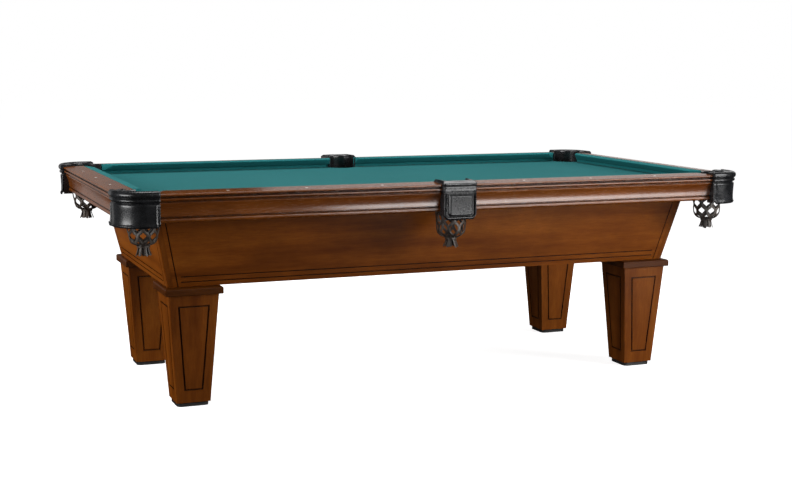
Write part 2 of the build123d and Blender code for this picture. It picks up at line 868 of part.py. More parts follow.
with BuildPart() as rail_bolts:
    with BuildSketch(Plane.XY.offset(frame_top - washer_thickness)):
        with Locations(*rail_bolt_spots):
            RegularPolygon(rail_bolt_head, 6)
    extrude(amount=-rail_bolt_head_height)
    with BuildSketch(Plane.XY.offset(frame_top - washer_thickness)):
        with Locations(*rail_bolt_spots):
            Circle(washer_radius)
    extrude(amount=washer_thickness)
    with BuildSketch(Plane.XY.offset(frame_top)):
        with Locations(*rail_bolt_spots):
            Circle(rail_bolt_radius)
    extrude(amount=bed_height + bolt_bite - frame_top)
save(rail_bolts, "rail_bolts")

# ---------------------------------------------------------------- pockets
# A cast iron holds the two rail ends apart, and leather is stretched over it: a padded rim, a
# lining down the hole and a shield outside.
corner_ring_end = -9.5  # where the lining stops, along the corner's diagonal from the nose crossing
side_ring_end = 24.5  # where the lining stops, outwards from the nose line
mouth_reach = 200.0
rim_round = 5.0
panel_raise = 14.0
panel_width = 104.0
panel_low = 690.0
panel_high = 776.0
shield_notch = 14.0
iron_height = 28.0
iron_bottom = rim_bottom - clearance - iron_height


def corner_throat(radius):
    """Take a corner pocket's hole and its way in from the table out of the plan being drawn."""
    shift = corner_ring_end / sqrt(2)
    with Locations((corner_x, corner_y)):
        Circle(radius, mode=Mode.SUBTRACT)
    with Locations((half_x + shift, half_y + shift)):
        Rectangle(
            mouth_reach,
            2 * mouth_reach,
            rotation=45,
            align=(Align.MAX, Align.CENTER),
            mode=Mode.SUBTRACT,
        )


def corner_plan(z, inset, reach=0.0, hole=0.0, ring=0.0):
    """Plan of a corner pocket at height z, inset from the leather's outside, its corner rounded.

    A hole takes the pocket's way in out of it, after a ring of the given wall has been added.
    """
    out_x = outer_x + leather_proud - inset
    out_y = outer_y + leather_proud - inset
    in_x = corner_rail_end + clearance - reach
    in_y = short_rail_end + clearance - reach
    turn = corner_round - inset
    with BuildSketch(Plane.XY.offset(z)) as plan:
        with BuildLine():
            Polyline(
                (out_x, out_y - turn),
                (out_x, in_y),
                (in_x, in_y),
                (in_x, out_y),
                (out_x - turn, out_y),
            )
            CenterArc((out_x - turn, out_y - turn), turn, 0, 90)
        make_face()
        if ring:
            with Locations((corner_x, corner_y)):
                Circle(hole + ring)
        if hole:
            corner_throat(hole)
    return plan.sketch


for name, side, depth in quarters:
    with BuildPart() as cover:
        outside = [corner_plan(corner_shield_bottom, shield_lean), corner_plan(rim_bottom, 0)]
        loft(outside, ruled=True)
        inside = [
            corner_plan(corner_shield_bottom, shield_lean + shield_wall, reach=shield_wall),
            corner_plan(rim_bottom, shield_wall, reach=shield_wall),
        ]
        loft(inside, ruled=True, mode=Mode.SUBTRACT)
        rim = corner_plan(rim_bottom, 0, hole=corner_hole, ring=leather_wall)
        extrude(rim, amount=rim_height)
        rim_edges = cover.faces().sort_by(Axis.Z)[-1].edges()
        fillet(rim_edges.sort_by(SortBy.DISTANCE)[-1], radius=rim_round)
        with BuildSketch(Plane.XY.offset(liner_foot)):
            with Locations((corner_x, corner_y)):
                Circle(corner_hole + leather_wall)
            corner_throat(corner_hole)
        extrude(amount=rim_bottom - liner_foot)
        flip(side, depth)
    save(cover, f"pocket_cover_{name}")

side_face = Plane(origin=(0, outer_y + side_proud, 0), x_dir=(-1, 0, 0), z_dir=(0, 1, 0))


def notched(half, low, high):
    """A rectangle of the side cover with its two lower corners cut off."""
    Polygon(
        (-half, high),
        (-half, low + shield_notch),
        (shield_notch - half, low),
        (half - shield_notch, low),
        (half, low + shield_notch),
        (half, high),
        align=None,
    )


def side_throat(radius):
    """Take a side pocket's hole and its way in from the table out of the plan being drawn."""
    with Locations((0, side_y)):
        Circle(radius, mode=Mode.SUBTRACT)
    span(-mouth_reach, mouth_reach, 0, half_y + side_ring_end, mode=Mode.SUBTRACT)


for name, depth in faces:
    with BuildPart() as cover:
        with BuildSketch(side_face):
            notched(side_cover, side_shield_bottom, rim_bottom)
        extrude(amount=-shield_wall)
        with BuildSketch(side_face):
            notched(panel_width / 2, panel_low, panel_high)
        extrude(amount=panel_raise, taper=45)
        with BuildSketch(Plane.XY.offset(rim_bottom)):
            span(-side_cover, side_cover, half_y + cushion_depth, outer_y + side_proud)
            with Locations((0, side_y)):
                Circle(side_hole + leather_wall)
            side_throat(side_hole)
        extrude(amount=rim_height)
        rim_edges = cover.faces().sort_by(Axis.Z)[-1].edges()
        fillet(rim_edges.sort_by(Axis.Y)[-1], radius=rim_round)
        with BuildSketch(Plane.XY.offset(liner_foot)):
            with Locations((0, side_y)):
                Circle(side_hole + leather_wall)
            side_throat(side_hole)
        extrude(amount=rim_bottom - liner_foot)
        flip(1, depth)
    save(cover, f"pocket_cover_{name}")

# The irons: castings behind the leather, with a lug let into each rail end.
iron_set_in = shield_wall + 3.0

with BuildPart() as pocket_irons:
    corner_iron = corner_plan(iron_bottom, iron_set_in, hole=corner_hole + leather_wall + clearance)
    extrude(corner_iron, amount=iron_height)
    with BuildSketch(Plane.XY.offset(iron_bottom)):
        span(0, side_cover, half_y + cushion_depth, outer_y + side_proud - shield_wall - clearance)
        side_throat(side_hole + leather_wall + clearance)
    extrude(amount=iron_height)
    for lug in lugs:
        with Locations((lug[0], lug[1], lug_height)):
            Box(lug[3], lug[4], lug_thickness)
        with Locations((*lug_bolt_spot(lug), lug_height)):
            Cylinder(lug_bolt_radius + clearance, lug_thickness, mode=Mode.SUBTRACT)
    four_ways()
save(pocket_irons, "pocket_irons")

# Bolts that come up from under the rails through the lugs.
with BuildPart() as iron_bolts:
    for lug in lugs:
        with Locations((*lug_bolt_spot(lug), rail_bottom + lug_bolt_sink)):
            Cylinder(
                lug_bolt_radius,
                lug_bolt_top - rail_bottom - lug_bolt_sink,
                align=(Align.CENTER, Align.CENTER, Align.MIN),
            )
            Cylinder(
                lug_bolt_head,
                lug_bolt_head_height,
                align=(Align.CENTER, Align.CENTER, Align.MAX),
            )
    four_ways()
save(iron_bolts, "iron_bolts")

# Net bags of leather webbing under the pockets, gathered and ending in a fringe.
net_wall = 4.0
net_top = liner_foot - clearance
net_belly = 654.0  # height of the widest part of a corner bag
net_gather = 622.0
net_gather_radius = 22.0
net_tassel_radius = 28.0
net_tassel_bottom = 582.0
corner_belly = 54.0
side_belly = 56.0
side_sag = 20.0  # how much lower the side bags hang
net_curl = 7.0  # how far the bag has drawn in, and how far below its widest part
net_round = 20.0
net_inner_round = 18.0


def net_section(x, y, top_radius, belly_radius, sag):
    """Half section of a net bag and its tassel about the pocket's upright axis."""
    belly = net_belly - sag
    gather = net_gather - sag
    foot = net_tassel_bottom - sag
    with BuildSketch(Plane(origin=(x, y, 0), x_dir=(1, 0, 0), z_dir=(0, -1, 0))) as section:
        with BuildLine():
            Line((top_radius - net_wall, net_top), (top_radius, net_top))
            Line((top_radius, net_top), (belly_radius, belly))
            ThreePointArc(
                (belly_radius, belly),
                (belly_radius - net_curl, belly - net_round),
                (net_gather_radius, gather),
            )
            Line((net_gather_radius, gather), (net_tassel_radius, foot))
            Line((net_tassel_radius, foot), (0, foot))
            Line((0, foot), (0, gather + net_wall))
            Line((0, gather + net_wall), (net_gather_radius - net_wall, gather + net_wall))
            ThreePointArc(
                (net_gather_radius - net_wall, gather + net_wall),
                (belly_radius - net_curl - net_wall, belly - net_inner_round),
                (belly_radius - net_wall, belly),
            )
            Line((belly_radius - net_wall, belly), (top_radius - net_wall, net_top))
        make_face()
    return section.sketch


for name, side, depth in quarters:
    with BuildPart() as net:
        section = net_section(corner_x, corner_y, corner_hole + leather_wall, corner_belly, 0)
        revolve(section, axis=Axis((corner_x, corner_y, 0), (0, 0, 1)))
        flip(side, depth)
    save(net, f"net_{name}")

for name, depth in faces:
    with BuildPart() as net:
        section = net_section(0, side_y, side_hole + leather_wall, side_belly, side_sag)
        revolve(section, axis=Axis((0, side_y, 0), (0, 0, 1)))
        flip(1, depth)
    save(net, f"net_{name}")
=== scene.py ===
import math
import random

import bmesh
import bpy
from mathutils import Matrix, Vector


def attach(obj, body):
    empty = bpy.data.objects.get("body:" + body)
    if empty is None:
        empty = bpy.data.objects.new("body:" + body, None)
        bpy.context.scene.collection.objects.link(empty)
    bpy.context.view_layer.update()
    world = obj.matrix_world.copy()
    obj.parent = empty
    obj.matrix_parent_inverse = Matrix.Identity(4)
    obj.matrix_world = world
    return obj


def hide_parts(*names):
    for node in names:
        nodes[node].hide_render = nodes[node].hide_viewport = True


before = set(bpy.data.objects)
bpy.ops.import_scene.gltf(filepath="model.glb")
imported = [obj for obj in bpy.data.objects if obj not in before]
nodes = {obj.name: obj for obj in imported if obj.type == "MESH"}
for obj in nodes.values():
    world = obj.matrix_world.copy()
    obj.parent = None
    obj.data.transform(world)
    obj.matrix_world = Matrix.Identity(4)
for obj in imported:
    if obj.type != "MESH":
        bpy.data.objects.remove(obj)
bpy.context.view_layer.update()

# ------------------------------------------------------------------ the studio
# A matt white floor inside a white dome. Both are only a backdrop: they aren't mirrored in the
# lacquer and leather and light nothing. The lamps shape the table, over a faint even fill.
DOME_RADIUS = 30.0
FLOOR_SIZE = 58.0
FLOOR_WHITE = (0.87, 0.87, 0.87, 1)
FLOOR_GLOW = 0.86
DOME_WHITE = (1, 1, 1, 1)
ROOM_FILL = 0.17


def new_material(name):
    """A node material, its tree and its shader."""
    material = bpy.data.materials.new(name)
    material.use_nodes = True
    return material, material.node_tree, material.node_tree.nodes["Principled BSDF"]


def add(tree, kind, inputs=None, **settings):
    """Add a node, set its properties, and fill or wire its inputs."""
    made = tree.nodes.new(kind)
    for key, value in settings.items():
        setattr(made, key, value)
    for key, value in (inputs or {}).items():
        if isinstance(value, bpy.types.NodeSocket):
            tree.links.new(value, made.inputs[key])
        else:
            made.inputs[key].default_value = value
    return made


FLOOR_DROP = 0.0005
bpy.ops.mesh.primitive_plane_add(size=FLOOR_SIZE, location=(0, 0, -FLOOR_DROP))
floor = bpy.context.object
floor.name = "floor"
material, tree, shader = new_material("floor_white")
shader.inputs["Base Color"].default_value = FLOOR_WHITE
shader.inputs["Roughness"].default_value = 0.9
shader.inputs["Specular IOR Level"].default_value = 0.1
shader.inputs["Emission Color"].default_value = (1, 1, 1, 1)
shader.inputs["Emission Strength"].default_value = FLOOR_GLOW
floor.visible_diffuse = False
floor.visible_glossy = False
floor.data.materials.append(material)

bpy.ops.mesh.primitive_uv_sphere_add(segments=64, ring_count=32, radius=DOME_RADIUS)
dome = bpy.context.object
dome.name = "dome"
material, tree, shader = new_material("dome_white")
glow = add(tree, "ShaderNodeEmission", {"Color": DOME_WHITE, "Strength": 1.0})
tree.links.new(glow.outputs[0], tree.nodes["Material Output"].inputs["Surface"])
dome.data.materials.append(material)
dome.visible_diffuse = False
dome.visible_glossy = False
dome.visible_shadow = False
dome.visible_transmission = False

world = bpy.data.worlds.new("room")
bpy.context.scene.world = world
world.use_nodes = True
world.node_tree.nodes["Background"].inputs["Color"].default_value = DOME_WHITE
world.node_tree.nodes["Background"].inputs["Strength"].default_value = ROOM_FILL
world.cycles_visibility.glossy = False
bpy.context.scene.view_settings.view_transform = "Standard"

# The lamps: soft boxes overhead, at the left-hand end and low in front to the right, which light
# the table, and six pale screens that it only mirrors, as long glints in lacquer and leather.
LAMPS = (
    ("overhead", (0.3, 0.5, 3.6), (0.0, 0.0, 0.75), 4.6, 2.6, 96.0, "light"),
    ("left_box", (-5.0, -0.6, 1.9), (-1.0, 0.0, 0.6), 2.6, 1.8, 190.0, "light"),
    ("front_box", (3.5, -2.9, 1.2), (0.9, -0.5, 0.6), 2.0, 1.4, 155.0, "light"),
    ("front_screen", (2.4, -3.7, 2.9), (0.7, -0.7, 0.75), 3.4, 2.6, 170.0, "glint"),
    ("foot_screen", (1.22, -2.25, 0.17), (1.22, 0.0, 0.17), 2.15, 0.34, 26.0, "glint"),
    ("rear_screen", (5.0, 6.5, 2.0), (1.2, 0.0, 0.8), 7.0, 2.4, 36.0, "glint"),
    ("top_screen", (1.0, 1.8, 4.4), (0.3, -0.5, 0.8), 4.0, 1.8, 75.0, "glint"),
    ("side_screen", (-1.9, 3.4, 0.85), (-1.4, 0.0, 0.75), 3.0, 1.7, 4.0, "glint"),
    ("left_screen", (-5.0, -1.6, 1.25), (-1.0, -0.6, 0.75), 2.6, 1.8, 100.0, "glint"),
)

for name, place, target, width, height, power, role in LAMPS:
    lamp = bpy.data.lights.new(name, "AREA")
    lamp.shape = "RECTANGLE"
    lamp.size = width
    lamp.size_y = height
    lamp.energy = power
    stand = bpy.data.objects.new(name, lamp)
    bpy.context.scene.collection.objects.link(stand)
    stand.location = place
    stand.rotation_euler = (Vector(target) - Vector(place)).to_track_quat("-Z", "Y").to_euler()
    stand.visible_camera = False
    stand.visible_glossy = role == "glint"
    stand.visible_diffuse = role == "light"

# The camera stands off the near left corner, a little above the bed.
EYE = Vector((-2.0788, -5.2220, 1.2803))
EYE_TURN = math.radians(21.947)
EYE_DIP = math.radians(8.014)
EYE_ROLL = math.radians(0.259)
EYE_LENS = 62.70

ahead = Vector(
    (
        math.sin(EYE_TURN) * math.cos(EYE_DIP),
        math.cos(EYE_TURN) * math.cos(EYE_DIP),
        -math.sin(EYE_DIP),
    )
)
level = Vector((math.cos(EYE_TURN), -math.sin(EYE_TURN), 0))
upward = level.cross(ahead)
across = math.cos(EYE_ROLL) * level + math.sin(EYE_ROLL) * upward
upright = math.cos(EYE_ROLL) * upward - math.sin(EYE_ROLL) * level
camera = bpy.data.objects.new("camera", bpy.data.cameras.new("camera"))
camera.data.lens = EYE_LENS
camera.data.clip_end = 200.0
facing = Matrix((across, upright, -ahead)).transposed().to_4x4()
camera.matrix_world = Matrix.Translation(EYE) @ facing
bpy.context.scene.collection.objects.link(camera)
bpy.context.scene.camera = camera

# ------------------------------------------------------------------ levellers
# A square steel foot, painted black, on a threaded stem that screws into a bush in the leg.
# The paint is a matt enamel, rubbed and dusty where it has been turned and stood on.


def noise(tree, place, scale, detail=2.0, roughness=0.5, stretch=(1, 1, 1)):
    """Soft blotches of a given size, drawn out where the stretch is below 1."""
    laid = add(tree, "ShaderNodeMapping", {"Vector": place, "Scale": stretch}).outputs[0]
    fields = {"Vector": laid, "Scale": scale, "Detail": detail, "Roughness": roughness}
    return add(tree, "ShaderNodeTexNoise", fields).outputs["Fac"]


def ramp(tree, amount, *stops):
    """Turn a number into a colour, through stops of (place, colour)."""
    made = add(tree, "ShaderNodeValToRGB", {"Fac": amount})
    elements = made.color_ramp.elements
    while len(elements) < len(stops):
        elements.new(0.5)
    for element, (position, colour) in zip(elements, stops):
        element.position = position
        element.color = (*colour, 1)
    return made.outputs["Color"]


def mixed(tree, amount, first, second, way="MIX"):
    """Two colours mixed by an amount."""
    made = add(tree, "ShaderNodeMix", data_type="RGBA", blend_type=way)
    for index, value in ((0, amount), (6, first), (7, second)):
        if isinstance(value, bpy.types.NodeSocket):
            tree.links.new(value, made.inputs[index])
        else:
            made.inputs[index].default_value = value
    return made.outputs[2]


def ranged(tree, amount, low, high, from_low=0.0, from_high=1.0):
    """A number moved from one range to another."""
    limits = {"From Min": from_low, "From Max": from_high, "To Min": low, "To Max": high}
    return add(tree, "ShaderNodeMapRange", {"Value": amount, **limits}).outputs[0]


def bumped(tree, shader, height, strength, distance, below=None):
    """Wire a height into the shader's normal, on top of a coarser one if there is one."""
    fields = {"Height": height, "Strength": strength, "Distance": distance}
    if below:
        fields["Normal"] = below
    made = add(tree, "ShaderNodeBump", fields).outputs["Normal"]
    tree.links.new(made, shader.inputs["Normal"])
    return made


def enamelled_steel(name, colour, worn, rough):
    """Painted or plated metal with rubbed patches."""
    material, tree, shader = new_material(name)
    place = add(tree, "ShaderNodeTexCoord").outputs["Object"]
    patches = noise(tree, place, 38.0, 6.0, 0.65)
    specks = noise(tree, place, 420.0, 2.0, 0.6)
    rubbed = ramp(tree, patches, (0.5, (0, 0, 0)), (0.78, (1, 1, 1)))
    tree.links.new(mixed(tree, rubbed, (*colour, 1), (*worn, 1)), shader.inputs["Base Color"])
    tree.links.new(ranged(tree, patches, rough - 0.1, rough + 0.15), shader.inputs["Roughness"])
    bumped(tree, shader, specks, 0.12, 0.0006)
    return material, shader


foot_black, shader = enamelled_steel("foot_enamel", (0.012, 0.011, 0.010), (0.045, 0.040, 0.036), 0.5)
zinc, shader = enamelled_steel("zinc_plate", (0.44, 0.44, 0.42), (0.62, 0.61, 0.58), 0.36)
shader.inputs["Metallic"].default_value = 1.0
brass, shader = enamelled_steel("yellow_brass", (0.62, 0.43, 0.16), (0.75, 0.56, 0.27), 0.3)
shader.inputs["Metallic"].default_value = 1.0
cast_iron, shader = enamelled_steel("cast_iron", (0.035, 0.034, 0.033), (0.11, 0.10, 0.095), 0.6)
shader.inputs["Metallic"].default_value = 0.8


def finish_nodes(material, *names):
    """Give CAD pieces their finish."""
    for name in names:
        mesh = nodes[name].data
        mesh.materials.clear()
        mesh.materials.append(material)


QUARTERS = (("front_left", -1, -1), ("front_right", 1, -1), ("rear_left", -1, 1), ("rear_right", 1, 1))
ENDS = (("left", -1), ("right", 1))
FACES = (("front", -1), ("rear", 1))

finish_nodes(foot_black, *[f"leveller_{name}" for name, side, depth in QUARTERS])
finish_nodes(zinc, "leveller_bushes", "leg_plates", "leg_bolts", "rail_bolts", "iron_bolts", "slate_screws")
finish_nodes(brass, "slate_dowels")
finish_nodes(cast_iron, "pocket_irons")

# ------------------------------------------------------------------ legs
# Tapered box legs of stained oak with a cut panel on each face, under a moulded cap plate.
# Brown glaze is wiped into the cuts and stays dark there, and painted shade darkens every crease and corner
# with it; the whole is lacquered.
OAK_DARK = (0.130, 0.0310, 0.0024)
OAK_MID = (0.225, 0.0600, 0.0054)
OAK_LIGHT = (0.310, 0.0920, 0.0100)
GLAZE_AND_SHADE = (0.008, 0.0030, 0.0012, 1)
PORE = (0.090, 0.0260, 0.0040, 1)
ALONG = {"X": (0.09, 1, 1), "Y": (1, 0.09, 1), "Z": (1, 1, 0.09)}


def stained_oak(name, axis, tone_and_shade=1.0, glaze_and_shade_reach=0.011, gloss=0.36, lacquer=0.0, shine=0.09, relief=1.0):
    """Lacquered oak with its grain along one axis, and glaze and painted shade darkening its cuts and
    creases.
    """
    material, tree, shader = new_material(name)
    place = add(tree, "ShaderNodeTexCoord").outputs["Object"]
    stretch = ALONG[axis]
    figure = noise(tree, place, 17.0, 4.0, 0.55, stretch)
    streaks = noise(tree, place, 210.0, 3.0, 0.6, stretch)
    pores = noise(tree, place, 1050.0, 2.0, 0.5, stretch)
    clouds = noise(tree, place, 5.5, 3.0, 0.55)
    # Each part gets a copy of the stain scaled by this factor; the darker copies of the posts, legs and rails
    # are painted shade.
    tones = [tuple(tone_and_shade * part for part in tone) for tone in (OAK_DARK, OAK_MID, OAK_LIGHT)]
    wood = ramp(tree, figure, (0.25, tones[0]), (0.50, tones[1]), (0.80, tones[2]))
    lines = ramp(tree, streaks, (0.35, (0.80, 0.77, 0.74)), (0.62, (1.04, 1.04, 1.04)))
    wood = mixed(tree, 0.7, wood, lines, "MULTIPLY")
    patchy = ramp(tree, clouds, (0.3, (0.78, 0.76, 0.72)), (0.7, (1.10, 1.08, 1.04)))
    wood = mixed(tree, 0.85, wood, patchy, "MULTIPLY")
    open_pores = ranged(tree, pores, 0.45, 0.0, 0.30, 0.42)
    wood = mixed(tree, open_pores, wood, PORE)
    # Occlusion over a short reach mixes the dark glaze colour into cuts, creases and corners: partly real
    # glaze, partly painted shade.
    hollow = add(tree, "ShaderNodeAmbientOcclusion", {"Distance": glaze_and_shade_reach}, samples=6, only_local=True)
    glaze_and_shade = ranged(tree, hollow.outputs["AO"], 0.98, 0.0, 0.50, 0.90)
    tree.links.new(mixed(tree, glaze_and_shade, wood, GLAZE_AND_SHADE), shader.inputs["Base Color"])
    tree.links.new(ranged(tree, streaks, gloss - 0.05, gloss + 0.09), shader.inputs["Roughness"])
    shader.inputs["Specular IOR Level"].default_value = shine
    shader.inputs["Coat Weight"].default_value = lacquer
    shader.inputs["Coat Roughness"].default_value = 0.18
    shader.inputs["Coat IOR"].default_value = 1.5
    coarse = bumped(tree, shader, streaks, 0.06 * relief, 0.0008)
    bumped(tree, shader, pores, 0.05 * relief, 0.0003, coarse)
    return material


# The legs' copy is darkened to 0.86 as painted shade.
leg_oak = stained_oak("leg_oak_lacquer", "Z", 0.86)
cap_oak = stained_oak("cap_oak_lacquer", "X", 0.34, 0.006)
finish_nodes(leg_oak, *[f"leg_{name}" for name, side, depth in QUARTERS])
finish_nodes(cap_oak, "leg_caps")

# ------------------------------------------------------------------ cabinet
# Wide leaning boards between square corner posts, beaded along the bottom, in the same oak.
# The boards' grain runs along them and the posts' runs up.
long_oak = stained_oak("apron_oak_lengthwise", "X", 0.95, 0.008)
end_oak = stained_oak("apron_oak_across", "Y", 0.95, 0.008)
# The posts are the same oak painted darker, at 0.80: painted shade at the corners.
post_oak_painted_shade = stained_oak("post_oak_upright_painted_shade", "Z", 0.80, 0.011)
finish_nodes(long_oak, "apron_front", "apron_rear")
finish_nodes(end_oak, "apron_left", "apron_right")
finish_nodes(post_oak_painted_shade, "corner_posts")

# ------------------------------------------------------------------ frame
# Beams, blocks and liners behind the oak are planed softwood, left bare, with the odd knot.
BARE_DARK = (0.36, 0.20, 0.085)
BARE_LIGHT = (0.58, 0.39, 0.19)
KNOT = (0.14, 0.06, 0.022, 1)


def bare_timber(name, axis):
    """Unfinished softwood with its grain along one axis."""
    material, tree, shader = new_material(name)
    place = add(tree, "ShaderNodeTexCoord").outputs["Object"]
    figure = noise(tree, place, 34.0, 4.0, 0.6, ALONG[axis])
    fibres = noise(tree, place, 620.0, 2.0, 0.5, ALONG[axis])
    knots = noise(tree, place, 7.0, 1.0, 0.4)
    wood = ramp(tree, figure, (0.32, BARE_DARK), (0.7, BARE_LIGHT))
    wood = mixed(tree, ranged(tree, knots, 0.0, 0.8, 0.72, 0.80), wood, KNOT)
    tree.links.new(wood, shader.inputs["Base Color"])
    tree.links.new(ranged(tree, fibres, 0.62, 0.85), shader.inputs["Roughness"])
    bumped(tree, shader, fibres, 0.25, 0.0006)
    return material


finish_nodes(bare_timber("softwood_lengthwise", "X"), "side_beam_front", "side_beam_rear", "centre_beams")
finish_nodes(bare_timber("softwood_across", "Y"), "end_beam_left", "end_beam_right", "cross_beams")
finish_nodes(bare_timber("softwood_upright", "Z"), "leg_blocks", "corner_blocks")
finish_nodes(bare_timber("poplar_strips", "Y"), "slate_liners")

# ------------------------------------------------------------------ slates
# Three ground slabs of grey slate, sawn at the edges and drilled from above for their screws.
material, tree, shader = new_material("ground_slate")
place = add(tree, "ShaderNodeTexCoord").outputs["Object"]
beds = noise(tree, place, 9.0, 6.0, 0.6, (1, 1, 14))
grit = noise(tree, place, 900.0, 2.0, 0.6)
stone = ramp(tree, beds, (0.3, (0.055, 0.060, 0.066)), (0.7, (0.120, 0.126, 0.132)))
tree.links.new(stone, shader.inputs["Base Color"])
tree.links.new(ranged(tree, grit, 0.6, 0.82), shader.inputs["Roughness"])
bumped(tree, shader, grit, 0.3, 0.0005)
finish_nodes(material, "slate_left", "slate_centre", "slate_right")

# ------------------------------------------------------------------ bed cloth
# One width of worsted wool in blue-green, pulled tight over the slates and under the rails.
# It is glued down at the pockets, where it turns over the slate's edge inside each mouth.
CLOTH_TOP = 0.766
CLOTH_UNDER = 0.765
CLOTH_X = 1.1746
CLOTH_Y = 0.6158
CORNER_AT = (1.1366, 0.5778)
SIDE_AT = (0.0, 0.6048)
CORNER_CUT = 0.067
SIDE_CUT = 0.065
LIP_FOOT = 0.7425
LIP_INSIDE = 0.0014
LIP_EASE = 0.0008
LIP_SPREAD = math.radians(56)
SIDE_LIP_SPREAD = 1.2 * LIP_SPREAD
ARC_STEPS = 28
CLOTH_DEEP = (0.0110, 0.1220, 0.1270)
CLOTH_PALE = (0.0200, 0.1700, 0.1770)


def wool_cloth(name, painted_brightness=1.0):
    """Close-napped wool: a fine twill under a brushed surface, a little uneven in tone."""
    material, tree, shader = new_material(name)
    place = add(tree, "ShaderNodeTexCoord").outputs["Object"]
    nap = noise(tree, place, 1500.0, 3.0, 0.7)
    brushed = noise(tree, place, 60.0, 4.0, 0.6, (0.25, 1, 1))
    faded = noise(tree, place, 1.9, 3.0, 0.5)
    twill = add(
        tree,
        "ShaderNodeTexWave",
        {"Vector": place, "Scale": 330.0, "Distortion": 1.2, "Detail": 1.0},
        bands_direction="DIAGONAL",
    ).outputs["Fac"]
    # Above 1 the brightness factor paints light into the wool's tones.
    deep, pale = ([painted_brightness * part for part in tone] for tone in (CLOTH_DEEP, CLOTH_PALE))
    wool = ramp(tree, nap, (0.30, deep), (0.70, pale))
    streaky = ramp(tree, brushed, (0.3, (0.93, 0.93, 0.93)), (0.7, (1.05, 1.05, 1.05)))
    wool = mixed(tree, 1.0, wool, streaky, "MULTIPLY")
    worn = ramp(tree, faded, (0.3, (0.92, 0.95, 0.95)), (0.7, (1.08, 1.05, 1.05)))
    wool = mixed(tree, 1.0, wool, worn, "MULTIPLY")
    tree.links.new(wool, shader.inputs["Base Color"])
    tree.links.new(ranged(tree, nap, 0.86, 0.98), shader.inputs["Roughness"])
    shader.inputs["Specular IOR Level"].default_value = 0.08
    shader.inputs["Sheen Weight"].default_value = 0.04
    shader.inputs["Sheen Roughness"].default_value = 0.5
    shader.inputs["Sheen Tint"].default_value = (0.35, 0.75, 0.75, 1)
    coarse = bumped(tree, shader, twill, 0.10, 0.0003)
    bumped(tree, shader, nap, 0.25, 0.0004, coarse)
    return material


def new_shape():
    """Points and faces of a piece being made."""
    return [], []


def add_skin(shape, rings, around=True, caps=True, run=False):
    """Cover rings of points with faces, each ring joined to the next."""
    points, faces = shape
    base = len(points)
    size = len(rings[0])
    for ring in rings:
        points.extend(Vector(point) for point in ring)
    steps = len(rings) if run else len(rings) - 1
    for row in range(steps):
        here = base + row * size
        there = base + (row + 1) % len(rings) * size
        for column in range(size if around else size - 1):
            onward = (column + 1) % size
            faces.append((here + column, here + onward, there + onward, there + column))
    if caps and around and not run:
        faces.append(tuple(base + column for column in range(size)))
        last = base + (len(rings) - 1) * size
        faces.append(tuple(last + column for column in reversed(range(size))))


def piece(name, shape, material, replaced=(), crease=40.0):
    """Make the piece's mesh, ride it on the table and let it stand for its CAD solids."""
    mesh = bpy.data.meshes.new(name)
    mesh.from_pydata([tuple(point) for point in shape[0]], [], shape[1])
    sewn = bmesh.new()
    sewn.from_mesh(mesh)
    bmesh.ops.triangulate(sewn, faces=[face for face in sewn.faces if len(face.verts) > 4])
    bmesh.ops.recalc_face_normals(sewn, faces=sewn.faces)
    sewn.to_mesh(mesh)
    sewn.free()
    mesh.materials.append(material)
    mesh.shade_smooth()
    mesh.set_sharp_from_angle(angle=math.radians(crease))
    made = bpy.data.objects.new(name, mesh)
    bpy.context.scene.collection.objects.link(made)
    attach(made, "table")
    if replaced:
        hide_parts(*replaced)
    return made


def arc_points(middle, radius, start, end, steps=ARC_STEPS):
    """Points along an arc, its ends included."""
    turns = [start + (end - start) * step / steps for step in range(steps + 1)]
    return [(middle[0] + radius * math.cos(turn), middle[1] + radius * math.sin(turn)) for turn in turns]


def lip_rings(outer, inner):
    """Sections of the cloth turned down over the slate's edge inside a mouth."""
    return [
        [(*out, LIP_FOOT), (*out, CLOTH_TOP), (*into, CLOTH_TOP - LIP_EASE), (*into, LIP_FOOT)]
        for out, into in zip(outer, inner)
    ]


bed_wool = wool_cloth("bed_wool")
corner_turn = math.acos((CLOTH_X - CORNER_AT[0]) / CORNER_CUT)
side_turn = math.asin((CLOTH_Y - SIDE_AT[1]) / SIDE_CUT)
right_cut = arc_points(CORNER_AT, CORNER_CUT, 2 * math.pi - corner_turn, math.pi / 2 + corner_turn)
side_cut = arc_points(SIDE_AT, SIDE_CUT, 2 * math.pi + side_turn, math.pi - side_turn)
rear_edge = right_cut + side_cut + [(-x, y) for x, y in reversed(right_cut)]
outline = rear_edge + [(-x, -y) for x, y in rear_edge]

cloth_shape = new_shape()
add_skin(cloth_shape, [[(x, y, z) for x, y in outline] for z in (CLOTH_UNDER, CLOTH_TOP)])
for side in (-1, 1):
    for depth in (-1, 1):
        inward = math.atan2(-depth, -side)
        middle = (side * CORNER_AT[0], depth * CORNER_AT[1])
        lip = [
            arc_points(middle, radius, inward - LIP_SPREAD, inward + LIP_SPREAD)
            for radius in (CORNER_CUT, CORNER_CUT - LIP_INSIDE)
        ]
        add_skin(cloth_shape, lip_rings(*lip))
for depth in (-1, 1):
    inward = -depth * math.pi / 2
    middle = (SIDE_AT[0], depth * SIDE_AT[1])
    lip = [
        arc_points(middle, radius, inward - SIDE_LIP_SPREAD, inward + SIDE_LIP_SPREAD)
        for radius in (SIDE_CUT, SIDE_CUT - LIP_INSIDE)
    ]
    add_skin(cloth_shape, lip_rings(*lip))
bed_sheet = piece("bed_cloth_sheet", cloth_shape, bed_wool, ["bed_cloth"])

